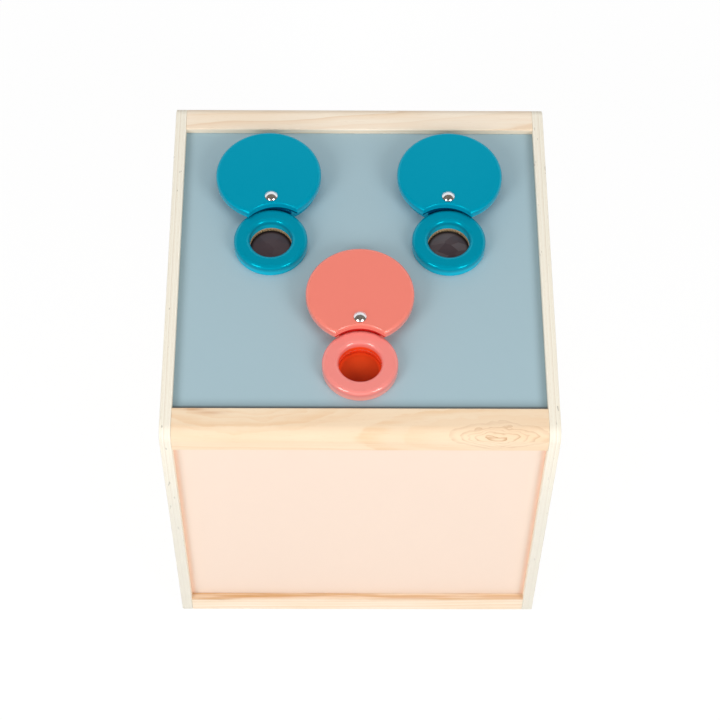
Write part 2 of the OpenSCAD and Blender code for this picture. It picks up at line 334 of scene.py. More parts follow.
def outline_points(arcs, counts):
    """Points along an outline of arcs. An arc is its centre, radius, first and last angle."""
    points = []
    for (centre, radius, first, last), count in zip(arcs, counts):
        for k in range(count + 1):
            a = first + (last - first) * k / count
            points.append(Vector(centre) + Vector((cos(a), sin(a))) * radius)
    return points


def eased_slab(outline, low, high, ease_low, ease_high, to_frame, hole=0.0, steps=6):
    """A slab from low to high with both rims rounded over, and a hole through its origin. Outline gives
    its arcs at an inset, and to_frame turns a point and a height into a place. All in millimetres."""
    longest_step, hole_sides, same_point = 1.0, 32, 1e-6
    arcs = outline(0.0)
    counts = [max(3, ceil(abs(last - first) * radius / longest_step)) for _, radius, first, last in arcs]
    points = outline_points(arcs, counts)
    kept = [k for k, point in enumerate(points) if (point - points[k - 1]).length > same_point]
    turns = [pi / 2 * k / steps for k in range(steps + 1)]
    levels = [(low + ease_low * (1 - cos(t)), ease_low * (1 - sin(t))) for t in turns]
    levels += [(high - ease_high * (1 - cos(t)), ease_high * (1 - sin(t))) for t in reversed(turns)]
    shape = bmesh.new()

    def loop(points, height):
        return [shape.verts.new(Vector(to_frame(p.x, p.y, height)) * MM) for p in points]

    def wall(first, second):
        for k in range(len(first)):
            j = (k + 1) % len(first)
            shape.faces.new((first[k], first[j], second[j], second[k]))

    loops = []
    for height, inset in levels:
        points = outline_points(outline(inset), counts)
        loops.append(loop([points[k] for k in kept], height))
    for first, second in zip(loops, loops[1:]):
        wall(first, second)
    if hole:
        angles = [2 * pi * k / hole_sides for k in range(hole_sides)]
        circle = [Vector((cos(a), sin(a))) * hole for a in angles]
        bore = [loop(circle, high), loop(circle, low)]
        wall(*bore)
        for rim, inner in ((loops[-1], bore[0]), (loops[0], bore[1])):
            edges = [shape.edges.get((r[k], r[k - 1])) or shape.edges.new((r[k], r[k - 1]))
                     for r in (rim, inner) for k in range(len(r))]
            bmesh.ops.triangle_fill(shape, edges=edges, use_beauty=True)
    else:
        shape.faces.new(loops[0])
        shape.faces.new(loops[-1])
    bmesh.ops.recalc_face_normals(shape, faces=shape.faces)
    return shape


def piece_of(name, shape):
    mesh = bpy.data.meshes.new(name)
    shape.to_mesh(mesh)
    shape.free()
    return add_object(name, mesh)


def plain_mesh(piece):
    """What a piece's modifiers make of it, as its own mesh, with the modifiers gone."""
    graph = bpy.context.evaluated_depsgraph_get()
    mesh = bpy.data.meshes.new_from_object(piece.evaluated_get(graph))
    piece.modifiers.clear()
    old = piece.data
    piece.data = mesh
    bpy.data.meshes.remove(old)
    mesh.name = piece.name
    return piece


def cut(piece, cutter):
    """Takes a cutter's volume out of a piece."""
    tool = piece_of(piece.name + "_cutter", cutter)
    modifier = piece.modifiers.new("cut", "BOOLEAN")
    modifier.operation, modifier.solver, modifier.object = "DIFFERENCE", "EXACT", tool
    plain_mesh(piece)
    bpy.data.objects.remove(tool)


def add_block(shape, low, high):
    """A block from its lowest to its highest corner, in millimetres."""
    low, high = Vector(low) * MM, Vector(high) * MM
    place = Matrix.Translation((low + high) / 2) @ Matrix.Diagonal((*(high - low), 1.0))
    bmesh.ops.create_cube(shape, size=1.0, matrix=place)


def taper(start, towards, length, first_r, last_r, sides=48):
    """A round or many-sided bar from start along towards, in millimetres."""
    shape = bmesh.new()
    turn = Vector(towards).to_track_quat("Z", "Y").to_matrix().to_4x4()
    middle = Matrix.Translation((Vector(start) + Vector(towards) * length / 2) * MM)
    bmesh.ops.create_cone(
        shape, cap_ends=True, segments=sides, radius1=first_r * MM, radius2=last_r * MM,
        depth=length * MM, matrix=middle @ turn,
    )
    return shape


def clad(piece, *finishes):
    """Gives a piece its finishes. Rounded edges shade smoothly, flat faces and sharp edges stay so."""
    for finish in finishes:
        piece.data.materials.append(finish)
    piece.data.shade_smooth()
    piece.data.set_sharp_from_angle(angle=SHARP_ANGLE)
    piece.modifiers.new("weighted_normals", "WEIGHTED_NORMAL").keep_sharp = True


def side_outline(inset):
    foot, top = SIDE_FOOT_CORNER, SIDE_CORNER
    return [
        ((-SIDE_FRONT + foot, foot), foot - inset, pi, 1.5 * pi),
        ((SIDE_FRONT - foot, foot), foot - inset, 1.5 * pi, 2 * pi),
        ((SIDE_FRONT - top, SIDE_TOP - top), top - inset, 0.0, 0.5 * pi),
        ((-SIDE_FRONT + top, SIDE_TOP - top), top - inset, 0.5 * pi, pi),
    ]


birch_face = birch_face_finish()
birch_edge = birch_edge_finish()
for side, hand in (("left", -1), ("right", 1)):
    shape = eased_slab(side_outline, SIDE_IN, SIDE_OUT, SIDE_EASE, SIDE_EASE,
                       lambda u, v, height: (hand * height, u, v))
    board = piece_of(side + "_side_board", shape)
    grooves = bmesh.new()
    x0, x1 = sorted((hand * (SIDE_IN - 1), hand * GROOVE_BOTTOM))
    for y0, y1, z0, z1 in (TOP_GROOVE, BOTTOM_GROOVE, FRONT_GROOVE, BACK_GROOVE):
        add_block(grooves, (x0, y0, z0), (x1, y1, z1))
    cut(board, grooves)
    inward = (-hand, 0, 0)
    for y, z in [(face * y, z) for face in (-1, 1) for y, z in SCREW_PLACES]:
        above, start = [(hand * x, y, z) for x in (SIDE_OUT + OVERCUT, SIDE_OUT)]
        cut(board, taper(above, inward, SCREW_HEAD_H + OVERCUT, COUNTERSINK_R, SCREW_HOLE_R))
        cut(board, taper(start, inward, SIDE_OUT - SIDE_IN + 1, SCREW_HOLE_R, SCREW_HOLE_R))
    clad(board, birch_edge, birch_face)
    for polygon in board.data.polygons:
        polygon.material_index = int(abs(polygon.normal.x) > FACE_NORMAL)
    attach(board, "box")
    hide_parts(side + "_side_panel")


# The four rails: planed pine, the top ones rounded over on their outer edge to match the side
# panels. Each is ploughed for the panels that it holds, and screwed and dowelled between the sides.
TOP_RAIL_DEPTH = 25.0
TOP_RAIL_FOOT = 275.0
BOTTOM_RAIL_DEPTH = 22.0
BOTTOM_RAIL_TOP = 19.6
RAIL_EASE = 1.1
RAIL_GROOVE = 7.1
NOSE_STEPS = 16
HONEY_PINE = srgb(244, 221, 191), srgb(242, 215, 183)
PALE_PINE = srgb(251, 236, 216), srgb(249, 230, 206)
LATE_TONE = srgb(233, 190, 142)
KNOT_TONE = srgb(196, 148, 104)
RESIN_TONE = srgb(198, 140, 92)
LEDGE_SHADE_TONE = srgb(204, 148, 84)

growth_rings, came, goes = node_group(
    "growth_rings", "Shader", {"Place": "Vector", "Pith": "Vector", "Lean": "Vector", "Wander": "Float"},
    {"Radius": "Float"})
heart = vector("ADD", came["Pith"], vector("MULTIPLY", came["Lean"], parts(came["Place"])[0]))
from_heart = vector("MULTIPLY", vector("SUBTRACT", came["Place"], heart), (0.0, 1.0, 1.0))
slow = calc("SUBTRACT", cloud(came["Place"], (7, 22, 22)), 0.5)
quick = calc("SUBTRACT", cloud(came["Place"], (26, 120, 120)), 0.5)
wander = times(calc("ADD", slow, times(quick, 0.16)), came["Wander"])
fill(goes, {"Radius": calc("ADD", vector("LENGTH", from_heart), wander)})

grain_swirl, came, goes = node_group(
    "grain_swirl", "Shader", {"Place": "Vector", "Middle": "Vector", "Reach": "Vector"},
    {"Heart": "Float"})
away = vector("DIVIDE", vector("SUBTRACT", came["Place"], came["Middle"]), came["Reach"])
fill(goes, {"Heart": calc("EXPONENT", times(vector("DOT_PRODUCT", away, away), -1.0))})

late_wood, came, goes = node_group(
    "late_wood", "Shader", {"Radius": "Float", "Ring width": "Float"}, {"Late": "Float", "Line": "Float"})
count = calc("DIVIDE", came["Radius"], came["Ring width"])
growth = calc("FRACT", count)
year = join("ShaderNodeTexWhiteNoise", {"W": calc("FLOOR", count)}, noise_dimensions="1D").outputs[0]
fall = grade(growth, 0.92, 1.0, 1.0, 0.0)
strength = calc("MULTIPLY_ADD", year, 0.7, 0.3)
fill(goes, {
    "Late": times(times(grade(growth, 0.25, 0.9), fall), strength),
    "Line": times(times(grade(growth, 0.78, 0.92), fall), strength),
})

grain_line, came, goes = node_group(
    "grain_line", "Shader", {"Near": "Float", "Level": "Float", "Width": "Float"}, {"Line": "Float"})
past = calc("DIVIDE", calc("SUBTRACT", came["Near"], came["Level"]), came["Width"])
fill(goes, {"Line": times(grade(past, -0.15, 0.0), grade(past, 0.0, 1.0, 1.0, 0.0))})


def pine_finish(name, tones, pith, lean, ring_width, wander, late, figures=(), stains=()):
    """Planed pine of two tones. Figures are loops of grain round a place, and stains darken one; on the
    ledge of the bottom rail the darkening is mostly painted shade.
    """
    material, place = new_finish("pine_" + name)
    radius = use_group(growth_rings, {
        "Place": place, "Pith": Vector(pith) * MM, "Lean": lean, "Wander": wander * MM})["Radius"]
    ring = use_group(late_wood, {"Radius": radius, "Ring width": ring_width * MM})
    fibre = use_group(wood_fibre, {"Place": place})
    colour = tint(grade(cloud(place, (9, 45, 45)), 0.3, 0.7), *tones)
    colour = tint(times(ring["Late"], late), colour, srgb(237, 201, 160))
    colour = tint(times(ring["Line"], late * 0.4), colour, srgb(214, 166, 118))
    colour = tint(grade(fibre["Streak"], 0.4, 0.8, 0.0, 0.3), colour, srgb(240, 209, 174))
    colour = tint(times(fibre["Pore"], 0.2), colour, srgb(210, 166, 122))

    def nearness(place, middle, reach):
        sockets = {"Place": place, "Middle": Vector(middle) * MM, "Reach": Vector(reach) * MM}
        return use_group(grain_swirl, sockets)["Heart"]

    bent = place
    for pace, reach in (((22, 90, 90), (22, 8, 8)), ((75, 170, 170), (9, 6, 6))):
        slow = join("ShaderNodeTexNoise", {"Vector": vector("MULTIPLY", place, pace), "Scale": 1.0})
        sway = vector("SUBTRACT", slow.outputs["Color"], (0.5, 0.5, 0.5))
        bent = vector("ADD", bent, vector("MULTIPLY", sway, Vector(reach) * MM))
    for middle, reach, brown, lines in figures:
        near = nearness(bent, middle, reach)
        for level, width, share in lines:
            line = use_group(grain_line, {"Near": near, "Level": level, "Width": width})["Line"]
            patchy = grade(fibre["Streak"], 0.3, 0.6, 0.4 * share, share)
            colour = tint(times(line, patchy), colour, brown)
    for middle, reach, brown, share in stains:
        patchy = times(nearness(place, middle, reach), grade(fibre["Streak"], 0.3, 0.6, 0.3, 1.0))
        colour = tint(times(patchy, share), colour, brown)
    rough = grade(fibre["Streak"], 0.2, 0.8, 0.42, 0.58)
    grain = calc("ADD", times(ring["Late"], 0.6), times(fibre["Fine"], 0.4))
    return surface(material, colour, rough, gloss=0.3, bump=grain, depth=0.05)


def corner(y, z, radius, first, steps=5):
    """Points of a quarter turn about a place, from the first angle on."""
    turns = [radians(first + 90 * k / steps) for k in range(steps + 1)]
    return [(y + radius * cos(a), z + radius * sin(a)) for a in turns]


def rail_section(depth, low, high, plough, upper):
    """Section of a front rail in Y and Z, with its two grooves, anticlockwise seen from the right."""
    front, back = -SIDE_FRONT, depth - SIDE_FRONT
    ease, groove = RAIL_EASE, RAIL_GROOVE
    (outer, inner), (z0, z1) = FRONT_GROOVE[:2], plough
    foot = corner(front + ease, low + ease, ease, 180)
    heel = corner(back - ease, low + ease, ease, 270)
    inside = [(back, z0), (back - groove, z0), (back - groove, z1), (back, z1)]
    inside += corner(back - ease, high - ease, ease, 0)
    if upper:
        over_wall = [(outer, low), (outer, low + groove), (inner, low + groove), (inner, low)]
        nose = corner(front + SIDE_CORNER, high - SIDE_CORNER, SIDE_CORNER, 90, NOSE_STEPS)
        return foot + over_wall + heel + inside + nose
    under_wall = [(inner, high), (inner, high - groove), (outer, high - groove), (outer, high)]
    return foot + heel + inside + under_wall + corner(front + ease, high - ease, ease, 90)


def rail(name, section, hand, **pine):
    """A rail of that section between the side panels, at the front or mirrored to the back."""
    shape = bmesh.new()
    ends = [[shape.verts.new(Vector((x, hand * y, z)) * MM) for y, z in section]
            for x in (-SIDE_IN, SIDE_IN)]
    for k in range(len(section)):
        shape.faces.new((ends[0][k - 1], ends[0][k], ends[1][k], ends[1][k - 1]))
    for end in ends:
        shape.faces.new(end)
    bmesh.ops.recalc_face_normals(shape, faces=shape.faces)
    piece = piece_of(name + "_rail_pine", shape)
    clad(piece, pine_finish(name, **pine))
    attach(piece, "box")
    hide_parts(name + "_rail")


top_section = rail_section(TOP_RAIL_DEPTH, TOP_RAIL_FOOT, SIDE_TOP, TOP_GROOVE[2:], upper=True)
bottom_section = rail_section(BOTTOM_RAIL_DEPTH, 0.0, BOTTOM_RAIL_TOP, BOTTOM_GROOVE[2:], upper=False)
# A figure is its middle, reach, tone and lines, each with a level, width and share.
front_figures = [
    ((105, -155, 290), (65, 15.4, 15.4), LATE_TONE, [(0.075, 0.12, 0.45), (0.3, 0.25, 0.18)]),
    ((104, -154, 291), (30, 9, 9), KNOT_TONE, [
        (0.2, 0.12, 0.25), (0.42, 0.1, 0.4), (0.6, 0.07, 0.3), (0.76, 0.07, 0.5), (0.93, 0.06, 0.8)]),
    ((-85, -128, 296), (70, 20, 20), LATE_TONE, [
        (0.22, 0.12, 0.22), (0.37, 0.22, 0.42), (0.6, 0.14, 0.3), (0.78, 0.1, 0.25)]),
]
front_stains = [
    ((-124, -133.5, 296), (9, 1.6, 2), RESIN_TONE, 0.9),
    ((-112, -136, 296), (12, 2.2, 2), RESIN_TONE, 0.5),
]
# Painted shade along the ledge on top of the bottom rail, with a darker heartwood streak at its left end.
ledge_stains = [
    ((0, -154, 20), (400, 14, 1.5), LEDGE_SHADE_TONE, 0.66),
    ((-110, -154, 20), (70, 14, 1.5), LEDGE_SHADE_TONE, 0.75),
]
rail("top_front", top_section, 1, tones=HONEY_PINE, pith=(0, -60, 150), lean=(0.0, 0.02, -0.03),
     ring_width=8.0, wander=7.0, late=0.3, figures=front_figures, stains=front_stains)
rail("top_back", top_section, -1, tones=PALE_PINE, pith=(0, 120, 230), lean=(0.0, 0.03, 0.02),
     ring_width=3.6, wander=6.0, late=0.4)
# The bottom front rail takes the pale tone partly as painted light, making up for the light it lacks down
# by the floor.
rail("bottom_front", bottom_section, 1, tones=PALE_PINE, pith=(0, -110, -40), lean=(0.0, 0.02, 0.04),
     ring_width=4.2, wander=6.0, late=0.4, stains=ledge_stains)
rail("bottom_back", bottom_section, -1, tones=HONEY_PINE, pith=(0, 190, 40), lean=(0.0, -0.03, 0.03),
     ring_width=3.6, wander=7.0, late=0.6)


# Front, back and bottom panels: thin board held all round in the grooves. The front and the back
# are sprayed in pale peach, and the bottom is plain birch ply.
PEACH = srgb(242, 220, 203)
# Painted shade: a deeper peach along both sides of the front and back panels.
SIDE_SHADE_PEACH = srgb(255, 202, 172)
SIDE_SHADE_REACH = (136.0, 140.5)

paint_film, came, goes = node_group(
    "paint_film", "Shader", {"Place": "Vector", "Colour": "Color", "Mottle": "Float", "Sheen": "Float"},
    {"Colour": "Color", "Roughness": "Float", "Height": "Float"})
patches = cloud(came["Place"], (11, 11, 11), detail=3.0)
specks = cloud(came["Place"], (160, 160, 160))
peel = cloud(came["Place"], (620, 620, 620))
uneven = calc("ADD", times(patches, 0.7), times(specks, 0.3))
shade = calc("ADD", times(calc("SUBTRACT", uneven, 0.5), came["Mottle"]), 1.0)
fill(goes, {
    "Colour": vector("MULTIPLY", came["Colour"], shade),
    "Roughness": calc("MULTIPLY_ADD", uneven, 0.12, came["Sheen"]),
    "Height": calc("MULTIPLY_ADD", specks, 0.5, peel),
})


def paint_finish(name, colour, mottle, sheen, gloss, gloss_tint=WHITE, over=None):
    """Sprayed satin paint with a faint orange peel. Over changes its colour from place to place."""
    material, place = new_finish(name)
    film = use_group(paint_film, {"Place": place, "Colour": colour, "Mottle": mottle, "Sheen": sheen})
    shade = over(place, film["Colour"]) if over else film["Colour"]
    return surface(material, shade, film["Roughness"], gloss, bump=film["Height"], depth=0.012,
                   **{"Specular Tint": gloss_tint})


def side_share(place, none, full):
    """0 short of none and 1 beyond full, both in millimetres from the middle to the sides."""
    return grade(calc("ABSOLUTE", parts(place)[0]), none * MM, full * MM)


def painted_side_shade(place, colour):
    """Painted shade, a deeper and more saturated peach, along both sides next to the side panels."""
    return tint(times(side_share(place, *SIDE_SHADE_REACH), 0.6), colour, SIDE_SHADE_PEACH)


def dress(finish, *nodes):
    """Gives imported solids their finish."""
    for node in nodes:
        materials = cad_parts[node].data.materials
        materials.clear()
        materials.append(finish)


peach_paint = paint_finish("peach_paint", PEACH, mottle=0.03, sheen=0.46, gloss=0.2, over=painted_side_shade)
dress(peach_paint, "front_panel", "back_panel")
dress(birch_face, "bottom_panel")


# The top panel: fibre board in blue-grey satin paint, let in below the rails. Its holes are drilled
# after painting, so that the brown board shows on their walls, except in front, where they are red.
BLUE_GREY = srgb(165, 190, 199)
# Painted shade: darker corners along the rails and sides, and a shadow line behind the front rail.
CORNER_SHADE = srgb(70, 92, 98)
SHADOW_LINE_TONE = srgb(64, 58, 50)
SHADED_SIDE = (132.0, 141.0)
SHADED_FRONT = (-132.0, -118.0)
FRONT_SHADOW_LINE = (-129.0, -126.6)
RED_BORE = srgb(246, 82, 38)
RED_BORE_REACH = 28.0
EYES = {"left": (-70.0, 20.5), "right": (70.0, 20.5), "centre": (0.0, -93.6)}
WALL_NORMAL = 0.5
SAME_PLACE = 1e-6


def board_finish():
    material, place = new_finish("raw_board")
    fuzz = cloud(place, (900, 900, 420), detail=3.0, roughness=0.6)
    layer = cloud(place, (60, 60, 1400))
    colour = tint(grade(fuzz, 0.3, 0.7), srgb(216, 186, 144), srgb(190, 154, 112))
    colour = tint(grade(layer, 0.45, 0.7, 0.0, 0.5), colour, srgb(152, 112, 72))
    rough = grade(fuzz, 0.2, 0.8, 0.75, 0.92)
    return surface(material, colour, rough, gloss=0.2, bump=fuzz, depth=0.05)


def painted_corner_shade(place, colour):
    """Painted shade in the corners where the panel meets the rails and the side panels, and a dark
    painted shadow line along the front rail.
    """
    colour = tint(times(side_share(place, *SHADED_SIDE), 0.25), colour, CORNER_SHADE)
    back = parts(place)[1]
    for (near, far), share, tone in ((SHADED_FRONT, 0.25, CORNER_SHADE), (FRONT_SHADOW_LINE, 0.7, SHADOW_LINE_TONE)):
        colour = tint(grade(back, near * MM, far * MM, share, 0.0), colour, tone)
    return colour


def merged(mesh):
    """A mesh's shape with its loose faces joined."""
    shape = bmesh.new()
    shape.from_mesh(mesh)
    bmesh.ops.remove_doubles(shape, verts=shape.verts, dist=SAME_PLACE)
    return shape


blue_grey_paint = paint_finish(
    "blue_grey_paint", BLUE_GREY, mottle=0.04, sheen=0.44, gloss=0.2, over=painted_corner_shade)
raw_board = board_finish()
red_bore = paint_finish("red_bore", RED_BORE, mottle=0.08, sheen=0.4, gloss=0.1)
top_panel = piece_of("top_panel_painted", merged(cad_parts["top_panel"].data))
clad(top_panel, blue_grey_paint, raw_board, red_bore)
for polygon in top_panel.data.polygons:
    if abs(polygon.normal.z) < WALL_NORMAL:
        from_centre = (polygon.center.xy - Vector(EYES["centre"]) * MM).length
        polygon.material_index = 2 if from_centre < RED_BORE_REACH * MM else 1
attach(top_panel, "box")
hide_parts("top_panel")


# Side screws and dowels: zinc-plated countersunk screws, four to a side, drawn in flush with
# the side panels with a hexagon key, and fluted beech dowels glued beside them in the rail ends.
SCREW_HEAD_R = 4.0
SCREW_R = 2.0
SCREW_LENGTH = 45.0
SCREW_POINT = 4.0
SCREW_SOCKET_R = 1.5
SCREW_SOCKET_H = 1.6
SCREW_TURN_SEED = 4


def metal_finish(name, colour, dull, rough_low, rough_high, grain):
    """Bare or plated metal with faint clouds and fine scratches."""
    material, place = new_finish(name)
    clouds = cloud(place, (220, 220, 220), detail=3.0)
    shade = tint(grade(clouds, 0.3, 0.75), colour, dull)
    rough = grade(clouds, 0.25, 0.75, rough_low, rough_high)
    scratches = cloud(place, (grain, grain, grain))
    return surface(material, shade, rough, bump=scratches, depth=0.004, Metallic=1.0)


def beech_finish():
    material, place = new_finish("beech")
    fibre = use_group(wood_fibre, {"Place": place})
    colour = tint(fibre["Streak"], srgb(226, 196, 152), srgb(204, 168, 122))
    colour = tint(times(fibre["Pore"], 0.6), colour, srgb(160, 116, 74))
    rough = grade(fibre["Streak"], 0.2, 0.8, 0.5, 0.65)
    return surface(material, colour, rough, bump=fibre["Fine"], depth=0.05)


def turned(profile, sides=64):
    """What a profile of radius and height, in millimetres, sweeps round an upright axis."""
    shape = bmesh.new()
    spokes = [(cos(2 * pi * k / sides), sin(2 * pi * k / sides)) for k in range(sides)]
    rings = []
    for radius, height in profile:
        rim = spokes if radius > 0 else spokes[:1]
        rings.append([shape.verts.new(Vector((radius * c, radius * s, height)) * MM) for c, s in rim])
    for first, second in zip(rings, rings[1:]):
        for k in range(sides):
            corners = [first[k % len(first)], first[(k + 1) % sides % len(first)],
                       second[(k + 1) % sides % len(second)], second[k % len(second)]]
            shape.faces.new(list(dict.fromkeys(corners)))
    bmesh.ops.recalc_face_normals(shape, faces=shape.faces)
    return shape


def grown(name, places, tree, values):
    """What a node tree makes of some places, in millimetres, and named values, as a plain piece."""
    mesh = bpy.data.meshes.new(name)
    mesh.from_pydata([Vector(place) * MM for place in places], [], [])
    piece = add_object(name, mesh)
    modifier = piece.modifiers.new("grow", "NODES")
    modifier.node_group = tree
    for socket in tree.interface.items_tree:
        if socket.name in values:
            modifier[socket.identifier] = values[socket.name]
    return plain_mesh(piece)


def end_tree(goes, geometry, finish):
    """Makes what a tree has placed real, in its finish."""
    real = join("GeometryNodeRealizeInstances", {0: geometry}).outputs[0]
    fill(goes, {0: join("GeometryNodeSetMaterial", {"Geometry": real, "Material": finish}).outputs[0]})


# One fixing at every place, its head outwards, each turned its own way.
fixings_at_places, came, goes = node_group("fixings_at_places", "Geometry", {
    "Places": "Geometry", "Fixing": "Object", "Outward": "Vector", "Turn seed": "Int",
    "Finish": "Material"}, {"Fixings": "Geometry"})
fixing = join("GeometryNodeObjectInfo", {"Object": came["Fixing"], "As Instance": True}).outputs
place = put(fixings_at_places, "GeometryNodeInputPosition").outputs[0]
outward = vector("MULTIPLY", place, came["Outward"])
aimed = join("FunctionNodeAlignRotationToVector", {"Vector": outward}, axis="Z").outputs[0]
any_turn = join("FunctionNodeRandomValue", {3: 2 * pi, "Seed": came["Turn seed"]}, data_type="FLOAT")
spin = any_turn.outputs[1]
about = join("FunctionNodeAxisAngleToRotation", {"Axis": (0.0, 0.0, 1.0), "Angle": spin}).outputs[0]
turn = join("FunctionNodeRotateRotation", {0: aimed, 1: about}, rotation_space="LOCAL").outputs[0]
placed = join("GeometryNodeInstanceOnPoints", {
    "Points": came["Places"], "Instance": fixing["Geometry"], "Rotation": turn}).outputs[0]
end_tree(goes, placed, came["Finish"])

zinc_steel = metal_finish("zinc_steel", srgb(190, 194, 199), srgb(150, 155, 162),
                          rough_low=0.25, rough_high=0.42, grain=900)
beech = beech_finish()
screw = piece_of("side_screw", turned([
    (0.0, 0.0), (SCREW_HEAD_R - 0.15, 0.0), (SCREW_HEAD_R, -0.12), (SCREW_R, -SCREW_HEAD_H),
    (SCREW_R, -SCREW_LENGTH + SCREW_POINT), (0.0, -SCREW_LENGTH)]))
cut(screw, taper((0, 0, OVERCUT), (0, 0, -1), SCREW_SOCKET_H + OVERCUT, SCREW_SOCKET_R,
                 SCREW_SOCKET_R, sides=6))
clad(screw)
plain_mesh(screw)
screw_places = [(hand * SIDE_OUT, face * y, z)
                for hand in (-1, 1) for face in (-1, 1) for y, z in SCREW_PLACES]
side_screws = grown("side_screws_set", screw_places, fixings_at_places, {
    "Fixing": screw, "Outward": (1.0, 0.0, 0.0), "Turn seed": SCREW_TURN_SEED, "Finish": zinc_steel})
bpy.data.objects.remove(screw)
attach(side_screws, "box")
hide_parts("left_side_screws", "right_side_screws")
dress(beech, "left_dowels", "right_dowels")


# The three peephole rings: turned hardwood with both upper edges rounded well over, sprayed teal at
# the back and coral in front. They stand on the top panel, screwed to it from below.
RING_R = 29.0
BORE_R = 16.5
RING_H = 9.5
RING_EDGE = 3.4
RING_FOOT_EDGE = 0.1
RING_STEPS = 160
ROUNDING_STEPS = 10
PANEL_TOP = 290.7
RING_TOP = PANEL_TOP + RING_H
HUE = {"left": "teal", "right": "teal", "centre": "coral"}
# Painted light: paler tones for the walls of rings and covers, below their rounded edges.
LIT_WALL_TONE = {"teal": srgb(0, 186, 216), "coral": srgb(255, 164, 152)}
RING_TONE = {"teal": srgb(0, 141, 168), "coral": srgb(245, 141, 133)}
GLOSS_TINT = {"teal": (0.0, 0.8, 0.95, 1.0), "coral": (1.0, 0.75, 0.7, 1.0)}
LIT_FROM, LIT_TO = 2.6, 6.8
# Painted red glow low in the coral ring's bore, as from light off the window.
RED_FROM, RED_TO = PANEL_TOP + 5.6, PANEL_TOP + 3.0
RED_GLOW_WALL = 1.4

# A rounded section swept round the bore.
turned_ring, came, goes = node_group("turned_ring", "Geometry", {
    "Outer radius": "Float", "Bore radius": "Float", "Height": "Float", "Upper rounding": "Float",
    "Foot rounding": "Float", "Foot": "Vector", "Finish": "Material"}, {"Ring": "Geometry"})
outer, bore, height = came["Outer radius"], came["Bore radius"], came["Height"]
section = join("GeometryNodeCurvePrimitiveQuadrilateral",
               {"Width": calc("SUBTRACT", outer, bore), "Height": height}).outputs[0]
corner_place = put(turned_ring, "GeometryNodeInputPosition").outputs[0]
upper = calc("LESS_THAN", parts(corner_place)[1], 0.0)
spread = calc("SUBTRACT", came["Upper rounding"], came["Foot rounding"])
rounding = calc("MULTIPLY_ADD", upper, spread, came["Foot rounding"])
rounded = join("GeometryNodeFilletCurve", {
    "Curve": section, "Radius": rounding, "Count": ROUNDING_STEPS}, mode="POLY").outputs[0]
middle = times(calc("ADD", outer, bore), 0.5)
path = join("GeometryNodeCurvePrimitiveCircle", {"Resolution": RING_STEPS, "Radius": middle}).outputs[0]
path = join("GeometryNodeSetCurveNormal", {"Curve": path}, mode="Z_UP").outputs[0]
swept = join("GeometryNodeCurveToMesh", {"Curve": path, "Profile Curve": rounded}).outputs[0]
lift = join("ShaderNodeCombineXYZ", {2: times(height, 0.5)}).outputs[0]
to_place = vector("ADD", came["Foot"], lift)
placed = join("GeometryNodeTransform", {"Geometry": swept, "Translation": to_place}).outputs[0]
end_tree(goes, placed, came["Finish"])


def away_from(place, middle):
    """Distance from an upright axis at that middle, given in millimetres."""
    return vector("DISTANCE", vector("MULTIPLY", place, (1.0, 1.0, 0.0)), Vector((*middle, 0.0)) * MM)


def below(place, high, low):
    """0 above high and 1 below low, both heights in millimetres."""
    return grade(parts(place)[2], low * MM, high * MM, 1.0, 0.0)


def painted_light_below(top, edge, share):
    """Painted light: paler on the walls below a rounded upper edge, where the light from the front falls.
    """
    def over(place, colour):
        return tint(times(below(place, top - LIT_FROM, top - LIT_TO), share), colour, edge)
    return over


def painted_red_glow(place, colour):
    """Painted light: low in its bore the coral takes a red glow, as from light off the orange window."""
    colour = painted_light_below(RING_TOP, LIT_WALL_TONE["coral"], 1.0)(place, colour)
    inside = grade(away_from(place, EYES["centre"]), BORE_R * MM, (BORE_R + RED_GLOW_WALL) * MM, 1.0, 0.0)
    return tint(times(inside, below(place, RED_FROM, RED_TO)), colour, RED_BORE)


ring_walls = {"teal": painted_light_below(RING_TOP, LIT_WALL_TONE["teal"], 1.0), "coral": painted_red_glow}
ring_paint = {}
for hue, over in ring_walls.items():
    ring_paint[hue] = paint_finish(hue + "_ring_paint", RING_TONE[hue], mottle=0.04, sheen=0.1, gloss=1.0,
                                   gloss_tint=GLOSS_TINT[hue], over=over)
for eye, (x, y) in EYES.items():
    ring = grown(eye + "_ring_painted", (), turned_ring, {
        "Outer radius": RING_R * MM, "Bore radius": BORE_R * MM, "Height": RING_H * MM,
        "Upper rounding": RING_EDGE * MM, "Foot rounding": RING_FOOT_EDGE * MM,
        "Foot": Vector((x, y, PANEL_TOP)) * MM, "Finish": ring_paint[HUE[eye]]})
    shape = merged(ring.data)
    bmesh.ops.recalc_face_normals(shape, faces=shape.faces)
    shape.to_mesh(ring.data)
    shape.free()
    clad(ring)
    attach(ring, "box")
    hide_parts(eye + "_ring")


# The windows: polished acrylic discs, smoke grey in the teal rings and orange-red in the coral one, let
# into the top panel from below and held there by a bored board retainer and three screws.
WINDOW_R = 19.0
WINDOW_T = 2.0
WINDOW_TOP = 286.7
WINDOW_EDGE = 0.4
WINDOW_SHADE = (-14.0, 20.0)
WINDOW_RIM = (13.4, 16.0)
ACRYLIC_IOR = 1.49
# Tones in front and at the back, painted shade and painted light, and at the rim: painted shade on the
# smoke, a painted red glow on the orange.
SMOKE = srgb(80, 62, 67), srgb(68, 53, 58), srgb(20, 12, 11)
PALER_SMOKE = srgb(92, 74, 78), srgb(80, 65, 69), srgb(20, 12, 11)
ORANGE = srgb(150, 38, 18), srgb(216, 76, 32), srgb(246, 84, 36)
# Tone of the painted reflections in the acrylic.
REFLECTION_TONE = srgb(128, 116, 116)


